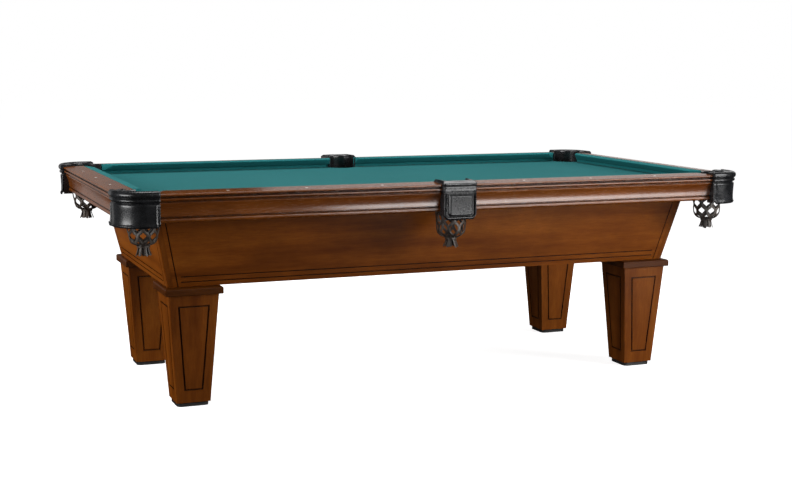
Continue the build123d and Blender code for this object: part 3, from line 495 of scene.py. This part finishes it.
# ------------------------------------------------------------------ rails
# Moulded oak rails: beads, a cove and a small foot mould, lacquered over the glaze and the painted shade in
# their grooves.
# Mother-of-pearl buttons are let into their tops and rubbed down flush.
# The rails' copies are darkened to 0.92 as painted shade.
rail_long = stained_oak("rail_oak_lengthwise", "X", 0.92, 0.010, 0.24, 0.40, 0.5, 0.2)
rail_end = stained_oak("rail_oak_across", "Y", 0.92, 0.010, 0.24, 0.40, 0.5, 0.2)
for side_name, depth in FACES:
    finish_nodes(rail_long, f"rail_{side_name}_left", f"rail_{side_name}_right")
finish_nodes(rail_end, "rail_left", "rail_right")

material, tree, shader = new_material("mother_of_pearl")
place = add(tree, "ShaderNodeTexCoord").outputs["Object"]
layers = noise(tree, place, 330.0, 3.0, 0.6, (1, 0.4, 1))
nacre = ramp(tree, layers, (0.3, (0.80, 0.76, 0.68)), (0.5, (0.90, 0.88, 0.84)), (0.7, (0.78, 0.84, 0.84)))
tree.links.new(nacre, shader.inputs["Base Color"])
tree.links.new(ranged(tree, layers, 0.12, 0.3), shader.inputs["Roughness"])
shader.inputs["Coat Weight"].default_value = 0.6
bumped(tree, shader, layers, 0.1, 0.0002)
finish_nodes(material, "rail_sights")

# ------------------------------------------------------------------ cushions
# Triangular gum rubber glued to the rails and covered with the bed's own wool, which is pulled
# over the nose, tacked underneath and pinched into a groove along the wood by a thin strip.
NOSE_X = 1.1176
NOSE_Y = 0.5588
CUSHION_DEPTH = 0.038
CORNER_TIP = 0.0898
CORNER_SLANT = 0.04864
SIDE_TIP = 0.0665
SIDE_SLANT = 0.00947
BORE = 0.0685
END_EASE = 0.0014
CUSHION_STEPS = 36
# How far each point of the section lies behind the nose, and its height.
CUSHION_SECTION = (
    (0.0380, 0.7800),
    (0.0380, 0.8052),
    (0.0374, 0.8060),
    (0.0362, 0.8064),
    (0.0350, 0.8073),
    (0.0330, 0.8078),
    (0.0260, 0.8075),
    (0.0180, 0.8070),
    (0.0100, 0.8064),
    (0.0050, 0.8059),
    (0.0028, 0.8054),
    (0.0012, 0.8046),
    (0.0003, 0.8037),
    (0.0000, 0.8028),
    (0.0003, 0.8016),
    (0.0012, 0.8006),
    (0.0030, 0.7992),
    (0.0080, 0.7954),
    (0.0140, 0.7906),
    (0.0200, 0.7858),
    (0.0250, 0.7819),
    (0.0275, 0.7803),
    (0.0335, 0.7796),
    (0.0358, 0.7776),
    (0.0364, 0.7740),
    (0.0366, 0.7665),
    (0.0380, 0.7665),
)
CUSHION_HEART = (0.0240, 0.7960)


def cushion_rings(start, end, start_slant, end_slant, limit):
    """Sections from one end to the other as (distance along, distance behind the nose, height)."""
    rings = []
    marks = [0.0, 0.0] + [step / CUSHION_STEPS for step in range(CUSHION_STEPS + 1)] + [1.0, 1.0]
    for index, mark in enumerate(marks):
        from_end = min(index, len(marks) - 1 - index)
        drawn = (0.10, 0.035, 0.0)[min(from_end, 2)]
        ring = []
        for back, height in CUSHION_SECTION:
            back += (CUSHION_HEART[0] - back) * drawn
            height += (CUSHION_HEART[1] - height) * drawn
            low = start - back * start_slant / CUSHION_DEPTH
            high = end + back * end_slant / CUSHION_DEPTH
            low, high = limit(low, high, back)
            inset = (0.0, 0.4 * END_EASE, END_EASE)[min(from_end, 2)]
            along = low + inset + (high - low - 2 * inset) * mark
            ring.append((along, back, height))
        rings.append(ring)
    return rings


def long_limit(low, high, back):
    """Keep a long cushion's outer end clear of the corner pocket."""
    off = NOSE_Y + back - CORNER_AT[1]
    return low, min(high, CORNER_AT[0] - math.sqrt(BORE**2 - off**2))


def short_limit(low, high, back):
    """Keep a short cushion's ends clear of the corner pockets."""
    off = NOSE_X + back - CORNER_AT[0]
    reach = CORNER_AT[1] - math.sqrt(BORE**2 - off**2)
    return max(low, -reach), min(high, reach)


# The cushions' wool is the bed's wool painted 15% lighter: painted light on the cushions.
cushion_wool_painted_light = wool_cloth("cushion_wool_painted_light", 1.15)
long_rings = cushion_rings(SIDE_TIP, NOSE_X - CORNER_TIP, SIDE_SLANT, CORNER_SLANT, long_limit)
short_rings = cushion_rings(CORNER_TIP - NOSE_Y, NOSE_Y - CORNER_TIP, CORNER_SLANT, CORNER_SLANT, short_limit)
for name, side, depth in QUARTERS:
    shape = new_shape()
    add_skin(shape, [[(side * x, depth * (NOSE_Y + back), z) for x, back, z in ring] for ring in long_rings])
    made = piece(f"cushion_{name}_covered", shape, cushion_wool_painted_light, [f"cushion_{name}"], 50.0)
for name, side in ENDS:
    shape = new_shape()
    add_skin(shape, [[(side * (NOSE_X + back), y, z) for y, back, z in ring] for ring in short_rings])
    made = piece(f"cushion_{name}_covered", shape, cushion_wool_painted_light, [f"cushion_{name}"], 50.0)

# ------------------------------------------------------------------ corner pockets
# Black leather stretched over the iron: a padded roll and a flat rim round the mouth, a second
# roll and a welt below it, then a shield that hangs outside, edged with piping.
LEATHER_DEEP = (0.0080, 0.0083, 0.0091)
LEATHER_WORN = (0.026, 0.027, 0.030)
PEBBLE = 780.0


def black_leather(name, deep, worn, rough, polish=0.55):
    """Polished hide: a pebbled grain, creases, and paler rubbed patches."""
    material, tree, shader = new_material(name)
    place = add(tree, "ShaderNodeTexCoord").outputs["Object"]
    pebbles = add(
        tree, "ShaderNodeTexVoronoi", {"Vector": place, "Scale": PEBBLE}, feature="SMOOTH_F1"
    ).outputs["Distance"]
    creases = noise(tree, place, 95.0, 5.0, 0.65)
    rubs = noise(tree, place, 21.0, 4.0, 0.6)
    hide = ramp(tree, rubs, (0.38, deep), (0.72, worn))
    tree.links.new(hide, shader.inputs["Base Color"])
    tree.links.new(ranged(tree, creases, rough - 0.09, rough + 0.14), shader.inputs["Roughness"])
    shader.inputs["Coat Weight"].default_value = polish
    shader.inputs["Coat Roughness"].default_value = 0.24
    coarse = bumped(tree, shader, creases, 0.10, 0.0010)
    bumped(tree, shader, pebbles, 0.14, 0.0003, coarse)
    return material


pocket_leather = black_leather("pocket_hide", LEATHER_DEEP, LEATHER_WORN, 0.26, 0.5)

CORNER_OUT = (1.2436, 0.6848)
CORNER_ROUND = 0.107
CORNER_START = (1.0969, 0.5381)
CORNER_HOLE = 0.062
LINING_WALL = 0.0045
LINING_FOOT = 0.745
LINING_TOP = 0.8072
# Section of the corner cover: what the point is measured from, how far outwards, and its height.
# "hole" counts from the mouth's edge, "out" from the outside, and "rim" is a share of the way
# between them.
CORNER_SECTION = (
    ("hole", 0.0045, 0.7975),
    ("hole", 0.0002, 0.7990),
    ("hole", -0.0010, 0.8030),
    ("hole", -0.0006, 0.8070),
    ("hole", 0.0016, 0.8104),
    ("hole", 0.0050, 0.8122),
    ("rim", 0.35, 0.8130),
    ("rim", 0.70, 0.8126),
    ("out", -0.0290, 0.8118),
    ("out", -0.0240, 0.8104),
    ("out", -0.0222, 0.8098),
    ("out", -0.0200, 0.8110),
    ("out", -0.0160, 0.8128),
    ("out", -0.0110, 0.8136),
    ("out", -0.0060, 0.8130),
    ("out", -0.0018, 0.8108),
    ("out", 0.0014, 0.8072),
    ("out", 0.0030, 0.8028),
    ("out", 0.0030, 0.7982),
    ("out", 0.0012, 0.7940),
    ("out", -0.0018, 0.7908),
    ("out", -0.0058, 0.7892),
    ("out", -0.0044, 0.7878),
    ("out", -0.0018, 0.7862),
    ("out", -0.0006, 0.7836),
    ("out", -0.0008, 0.7802),
    ("out", -0.0026, 0.7774),
    ("out", -0.0058, 0.7758),
    ("out", -0.0092, 0.7746),
    ("out", -0.0096, 0.7722),
    ("out", -0.0070, 0.7704),
    ("out", -0.0050, 0.7688),
    ("out", -0.0042, 0.7660),
    ("out", -0.0042, 0.7600),
    ("out", -0.0050, 0.7480),
    ("out", -0.0058, 0.7330),
    ("out", -0.0060, 0.7180),
    ("out", -0.0055, 0.7060),
    ("out", -0.0046, 0.7000),
    ("out", -0.0030, 0.6984),
    ("out", -0.0018, 0.6966),
    ("out", -0.0022, 0.6946),
    ("out", -0.0038, 0.6932),
    ("out", -0.0042, 0.6914),
    ("out", -0.0050, 0.6900),
    ("out", -0.0068, 0.6894),
    ("out", -0.0086, 0.6902),
    ("out", -0.0096, 0.6930),
    ("out", -0.0106, 0.7200),
    ("out", -0.0110, 0.7700),
    ("out", -0.0116, 0.7970),
    ("out", -0.0260, 0.7975),
    ("rim", 0.35, 0.7975),
)
SHIELD_TOP = 0.7695
SHIELD_FLARE = 0.0065
FLARE_RUN = 0.045
WELT_IN = 0.0120
WELT_HALF = 0.0024
WELT_RISE = 0.0022
CUT_BELOW = 0.7040
END_CUT = 0.013
EDGE_SET = (
    0.0,
    0.0008,
    0.0020,
    0.0040,
    0.0070,
    0.0096,
    0.0108,
    0.0120,
    0.0132,
    0.0144,
    0.0170,
    0.0220,
    0.0290,
)


def corner_stations():
    """Places along the cover: the outside point, the way outwards, the hole's edge, and the run."""
    straight = CORNER_OUT[0] - CORNER_ROUND - CORNER_START[0]
    bend = CORNER_ROUND * math.pi / 2
    whole = 2 * straight + bend
    runs = [run for run in EDGE_SET if run < straight]
    runs += [straight + bend * step / 40 for step in range(41)]
    runs += [whole - run for run in reversed(EDGE_SET) if run < straight]
    made = []
    for run in runs:
        if run < straight:
            out = Vector((CORNER_START[0] + run, CORNER_OUT[1], 0))
            way = Vector((0, 1, 0))
            off = out.x - CORNER_AT[0]
            hole = Vector((out.x, CORNER_AT[1] + math.sqrt(CORNER_HOLE**2 - off**2), 0))
        elif run > straight + bend:
            out = Vector((CORNER_OUT[0], CORNER_START[1] + whole - run, 0))
            way = Vector((1, 0, 0))
            off = out.y - CORNER_AT[1]
            hole = Vector((CORNER_AT[0] + math.sqrt(CORNER_HOLE**2 - off**2), out.y, 0))
        else:
            turn = math.pi / 2 - (run - straight) / CORNER_ROUND
            way = Vector((math.cos(turn), math.sin(turn), 0))
            out = Vector((*CORNER_AT, 0)) + way * CORNER_ROUND
            hole = Vector((*CORNER_AT, 0)) + way * CORNER_HOLE
        made.append((out, way, hole, run, whole))
    return made


def eased(value):
    """A smooth bell from 1 at nothing to 0 at one."""
    return math.cos(min(1.0, abs(value)) * math.pi / 2) ** 2


def corner_ring(out, way, hole, run, whole):
    """One section of the corner cover."""
    from_end = min(run, whole - run)
    ring = []
    back = (out - way * 0.0285 - hole).length
    from_hole = (out - hole).normalized()
    for kind, amount, height in CORNER_SECTION:
        if kind == "hole":
            point = hole + from_hole * amount
        elif kind == "rim":
            point = hole + from_hole * (0.005 + (back - 0.005) * amount)
        else:
            swell = 0.0
            if height < SHIELD_TOP:
                low = (SHIELD_TOP - height) / (SHIELD_TOP - 0.690)
                swell = SHIELD_FLARE * low * max(0.0, 1 - from_end / FLARE_RUN) ** 1.5
            if height < SHIELD_TOP and amount > -0.0062:
                swell += WELT_RISE * eased((from_end - WELT_IN) / WELT_HALF)
            edge = 0.0028 * max(0.0, 1 - from_end / 0.003) ** 2
            if amount < -0.0085:
                edge = 0.0
            point = out + way * (amount + swell - edge)
        if height < CUT_BELOW:
            share = (CUT_BELOW - height) / (CUT_BELOW - 0.690)
            height += share * END_CUT * max(0.0, 1 - from_end / END_CUT) ** 1.3
        ring.append((point.x, point.y, height))
    return ring


def lining_rings(middle, radius, outward, spread, top, steps=56):
    """The leather tube inside the mouth, its top edge rolled over."""
    section = (
        (0.0, LINING_FOOT),
        (0.0, top - 0.0100),
        (-0.0004, top - 0.0050),
        (0.0002, top - 0.0016),
        (0.0016, top - 0.0002),
        (0.0032, top - 0.0006),
        (LINING_WALL, top - 0.0028),
        (LINING_WALL, LINING_FOOT),
    )
    rings = []
    for step in range(steps + 1):
        turn = outward - spread + 2 * spread * step / steps
        way = (math.cos(turn), math.sin(turn))
        rings.append(
            [(middle[0] + way[0] * (radius + r), middle[1] + way[1] * (radius + r), z) for r, z in section]
        )
    return rings


FLAP_FOOT = 0.6925
FLAP_WALL = 0.0028
FLAP_TOP = 0.7690
FLAP_IN = 0.6370
FLAP_IN_SHORT = 1.1958
FLAP_BACK = 0.0100


def end_flap(side, depth, swap):
    """Leather turned in behind the shield's end, over the end of the rail."""
    rings = []
    for height in (FLAP_FOOT, 0.7100, 0.7400, FLAP_TOP):
        near = CORNER_START[0] if swap else CORNER_START[1]
        inner = FLAP_IN if swap else FLAP_IN_SHORT
        outer = (CORNER_OUT[1] if swap else CORNER_OUT[0]) - FLAP_BACK
        ring = [(near, inner), (near, outer), (near + FLAP_WALL, outer), (near + FLAP_WALL, inner)]
        if not swap:
            ring = [(y, x) for x, y in ring]
        rings.append([(side * x, depth * y, height) for x, y in ring])
    return rings


CORNER_LINING_SPREAD = math.radians(125.5)
cover_rings = [corner_ring(*station) for station in corner_stations()]
lined = lining_rings(CORNER_AT, CORNER_HOLE, math.pi / 4, CORNER_LINING_SPREAD, LINING_TOP)
for name, side, depth in QUARTERS:
    shape = new_shape()
    for rings in (cover_rings, lined):
        add_skin(shape, [[(side * x, depth * y, z) for x, y, z in ring] for ring in rings])
    for swap in (True, False):
        add_skin(shape, end_flap(side, depth, swap))
    piece(f"pocket_{name}_leather", shape, pocket_leather, [f"pocket_cover_{name}"], 62.0)

# ------------------------------------------------------------------ side pockets
# The middle pockets carry a square shield pressed over a block: three ribs under the padded
# roll, a raised field with bevelled sides, and a turned edge with its lower corners cut off.
SIDE_HALF = 0.066
SIDE_FRONT = 0.6868
SIDE_BACK = 0.5972
SIDE_HOLE = 0.060
SIDE_TOP = 0.8128
SIDE_FOOT = 0.6750
# The padded top: share of the way from the mouth's edge to the front, and height.
SIDE_TOP_CROWN = (
    (0.00, 0.7990),
    (-0.02, 0.8040),
    (0.00, 0.8085),
    (0.08, 0.8112),
    (0.22, 0.8140),
    (0.40, 0.8162),
    (0.60, 0.8172),
    (0.80, 0.8166),
    (0.93, 0.8148),
)
SIDE_RIB_SPOTS = ((0.8060, 0.0085, 0.0060), (0.7905, 0.0055, 0.0030), (0.7815, 0.0050, 0.0032))
FIELD_HALF = 0.0485
FIELD_LOW = 0.6870
FIELD_HIGH = 0.7680
FIELD_BEVEL = 0.0075
FIELD_RISE = 0.0120
EDGE_BEAD = 0.0060
CORNER_CLIP = 0.014
SIDE_ROUND = 0.007
FLANK_FROM = 0.654
FLANK_FOOT = 0.788
SIDE_PITCH = 0.0018


def side_relief(x, z):
    """How far the shield's face stands out at a point of it."""
    rise = 0.0
    for middle, half, height in SIDE_RIB_SPOTS:
        rise = max(rise, height * math.sqrt(max(0.0, 1 - ((z - middle) / half) ** 2)))
    clip = (FIELD_HALF - abs(x) + z - FIELD_LOW) / math.sqrt(2) - 0.006
    inside = min(FIELD_HALF - abs(x), z - FIELD_LOW, FIELD_HIGH - z, clip)
    if inside > 0:
        share = min(1.0, inside / FIELD_BEVEL)
        rise = max(rise, 0.003 + (FIELD_RISE - 0.003) * share * (1.25 - 0.25 * share))
    border = min(SIDE_HALF - abs(x), z - SIDE_FOOT)
    clip = (SIDE_HALF - abs(x) + z - SIDE_FOOT - CORNER_CLIP) / math.sqrt(2)
    border = min(border, clip)
    if z < FIELD_HIGH + 0.006:
        rise = max(rise, 0.0052 * eased((border - EDGE_BEAD) / (1.1 * EDGE_BEAD)))
    return rise


def side_rows():
    """Heights of the rows of points down the shield, closer over the ribs and edges."""
    rows = []
    z = SIDE_TOP - 0.0035
    while z > SIDE_FOOT:
        rows.append(z)
        z -= 0.0014 if z > FIELD_HIGH - 0.014 or z < FIELD_LOW + 0.014 else 0.0035
    return rows


def side_stations():
    """Places round the cover from its left rear corner: the outside point, the way out, the hole."""
    made = []
    centre = Vector((SIDE_AT[0], SIDE_AT[1], 0))
    flank = [SIDE_BACK + (SIDE_FRONT - SIDE_ROUND - SIDE_BACK) * step / 12 for step in range(13)]
    front_steps = int(2 * (SIDE_HALF - SIDE_ROUND) / SIDE_PITCH)
    front = [-SIDE_HALF + SIDE_ROUND + SIDE_PITCH * step for step in range(1 + front_steps)]
    path = [(Vector((-SIDE_HALF, y, 0)), Vector((-1, 0, 0))) for y in flank]
    for step in range(1, 6):
        turn = math.pi - step * math.pi / 12
        way = Vector((math.cos(turn), math.sin(turn), 0))
        path.append((Vector((SIDE_ROUND - SIDE_HALF, SIDE_FRONT - SIDE_ROUND, 0)) + way * SIDE_ROUND, way))
    path += [(Vector((x, SIDE_FRONT, 0)), Vector((0, 1, 0))) for x in front]
    for step in range(1, 6):
        turn = math.pi / 2 - step * math.pi / 12
        way = Vector((math.cos(turn), math.sin(turn), 0))
        path.append((Vector((SIDE_HALF - SIDE_ROUND, SIDE_FRONT - SIDE_ROUND, 0)) + way * SIDE_ROUND, way))
    path += [(Vector((SIDE_HALF, y, 0)), Vector((1, 0, 0))) for y in reversed(flank)]
    for out, way in path:
        toward = (out - centre).normalized()
        hole = centre + toward * SIDE_HOLE
        made.append((out, way, hole))
    return made


def side_ring(out, way, hole):
    """One section of the side cover, from the mouth's edge over the top and down the shield."""
    ring = []
    span = out - hole
    from_hole = span.normalized()
    top_run = span.length - 0.004
    for share, height in SIDE_TOP_CROWN:
        point = hole + from_hole * top_run * share
        ring.append((point.x, point.y, height))
    front = max(0.0, way.y) ** 2
    lowest = SIDE_FOOT
    if abs(out.x) > SIDE_HALF - CORNER_CLIP:
        lowest += abs(out.x) - (SIDE_HALF - CORNER_CLIP)
    if out.y < FLANK_FROM:
        lowest = FLANK_FOOT
    for z in side_rows():
        height = max(z, lowest)
        if front > 0:
            stand = front * side_relief(out.x, height)
        else:
            stand = 0.35 * side_relief(0.0, height) if height > FIELD_HIGH else 0.0
        point = out + way * stand
        ring.append((point.x, point.y, height))
    last = out - way * 0.004
    ring.append((last.x, last.y, lowest - 0.0012))
    inside = out - way * 0.008
    ring.append((inside.x, inside.y, lowest + 0.002))
    ring.append((inside.x, inside.y, 0.7960))
    point = hole + from_hole * min(0.005, span.length * 0.5)
    ring.append((point.x, point.y, 0.7960))
    return ring


SIDE_LINING_SPREAD = math.radians(111)
side_rings = [side_ring(*station) for station in side_stations()]
lined = lining_rings(SIDE_AT, SIDE_HOLE, math.pi / 2, SIDE_LINING_SPREAD, LINING_TOP)
for name, depth in FACES:
    shape = new_shape()
    for rings in (side_rings, lined):
        add_skin(shape, [[(x, depth * y, z) for x, y, z in ring] for ring in rings])
    piece(f"pocket_{name}_leather", shape, pocket_leather, [f"pocket_cover_{name}"], 50.0)

# ------------------------------------------------------------------ net bags
# A bag of brown latigo thongs hangs under each pocket. The thongs are riveted to each other in
# turn so that they open into drops, then tied together, and their ends hang as a fringe.
NET_TOP = 0.7440
NET_BELLY = 0.6540
NET_TIE = 0.6220
NET_TIE_RADIUS = 0.0210
CORNER_BELLY = 0.0525
SIDE_BELLY = 0.0545
SIDE_SAG = 0.020
THONGS = 16
THONG_WIDTH = 0.0095
THONG_THICK = 0.0030
DROPS = 4
THONG_STEPS = 52
FRINGE_FOOT = 0.5830
FRINGE_WIDTH = 0.0088
FRINGE_THICK = 0.0024
FRINGE_SET = 0.86
HIDE_BROWN = (0.028, 0.0185, 0.0125)
HIDE_GREY = (0.105, 0.083, 0.068)
seeded = random.Random(7)


RIBBON_SECTION = (
    (-0.5, -0.2),
    (-0.32, -0.5),
    (0.32, -0.5),
    (0.5, -0.2),
    (0.5, 0.2),
    (0.3, 0.5),
    (-0.3, 0.5),
    (-0.5, 0.2),
)


def ribbon(shape, path, outs, width, thick):
    """A flat strip with rounded edges along a path, its face turned to the given way out."""
    rings = []
    for index, (point, out) in enumerate(zip(path, outs)):
        onward = path[min(index + 1, len(path) - 1)] - path[max(index - 1, 0)]
        across = onward.cross(out).normalized()
        face = across.cross(onward).normalized()
        ring = []
        for sideways, rise in RIBBON_SECTION:
            ring.append(point + across * width * sideways + face * thick * rise)
        rings.append(ring)
    add_skin(shape, rings)


def bag_radius(z, top, belly, sag):
    """Half the bag's width at a height."""
    widest = NET_BELLY - sag
    if z > widest:
        share = (z - widest) / (NET_TOP - widest)
        return belly + (top - belly) * share**1.2
    share = (widest - z) / (NET_BELLY - NET_TIE)
    return belly + (NET_TIE_RADIUS - belly) * (1 - math.sqrt(max(0.0, 1 - share**1.7)))


def net_bag(top, belly, sag):
    """Thongs, tie and fringe of one bag, about its own upright axis."""
    shape = new_shape()
    tie = NET_TIE - sag
    pitch = 2 * math.pi / THONGS
    for thong in range(THONGS):
        hand = 1 if thong % 2 else -1
        path, outs = [], []
        for step in range(THONG_STEPS + 1):
            share = step / THONG_STEPS
            z = NET_TOP + (tie - NET_TOP) * share
            swing = math.cos(math.pi * DROPS * share)
            swing = math.copysign(abs(swing) ** 0.75, swing)
            turn = pitch * (thong + 0.5 * hand * swing * 0.93)
            radius = bag_radius(z, top, belly, sag) - 0.002 + hand * 0.0005
            out = Vector((math.cos(turn), math.sin(turn), 0))
            path.append(out * radius + Vector((0, 0, z)))
            outs.append(out)
        ribbon(shape, path, outs, THONG_WIDTH, THONG_THICK)
    for ring_z, ring_radius, thick in (
        (NET_TOP - 0.004, top - 0.0015, 0.0030),
        (tie, NET_TIE_RADIUS, 0.0034),
        (tie - 0.0052, NET_TIE_RADIUS - 0.0008, 0.0032),
    ):
        rings = []
        for step in range(40):
            turn = 2 * math.pi * step / 40
            out = Vector((math.cos(turn), math.sin(turn), 0))
            middle = out * ring_radius + Vector((0, 0, ring_z))
            ring = []
            for corner in range(8):
                lean = corner * math.pi / 4
                ring.append(middle + (out * math.cos(lean) + Vector((0, 0, 1)) * math.sin(lean)) * thick)
            rings.append(ring)
        add_skin(shape, rings, run=True, caps=False)
    for strip in range(THONGS):
        turn = pitch * (strip + 0.5 * seeded.random())
        inner = 0.72 if strip % 2 else 1.0
        flare = (0.0265 + 0.0030 * seeded.random()) * inner
        foot = FRINGE_FOOT - sag + 0.005 * seeded.random()
        twist = 0.35 * (seeded.random() - 0.5)
        start = NET_TIE_RADIUS * FRINGE_SET * inner
        path, outs = [], []
        for step in range(9):
            share = step / 8
            angle = turn + twist * share
            radius = start + (flare - start) * share**1.6
            out = Vector((math.cos(angle), math.sin(angle), 0))
            path.append(out * radius + Vector((0, 0, tie + 0.001 + (foot - tie) * share)))
            outs.append(Vector((math.cos(angle + twist), math.sin(angle + twist), 0)))
        ribbon(shape, path, outs, FRINGE_WIDTH, FRINGE_THICK)
    return shape


material = black_leather("latigo_hide", HIDE_BROWN, HIDE_GREY, 0.48, 0.15)
for name, side, depth in QUARTERS:
    bag = net_bag(CORNER_HOLE + LINING_WALL - 0.001, CORNER_BELLY, 0.0)
    shape = ([point + Vector((side * CORNER_AT[0], depth * CORNER_AT[1], 0)) for point in bag[0]], bag[1])
    piece(f"net_{name}_thongs", shape, material, [f"net_{name}"], 45.0)
for name, depth in FACES:
    bag = net_bag(SIDE_HOLE + LINING_WALL - 0.001, SIDE_BELLY, SIDE_SAG)
    shape = ([point + Vector((0, depth * SIDE_AT[1], 0)) for point in bag[0]], bag[1])
    piece(f"net_{name}_thongs", shape, material, [f"net_{name}"], 45.0)
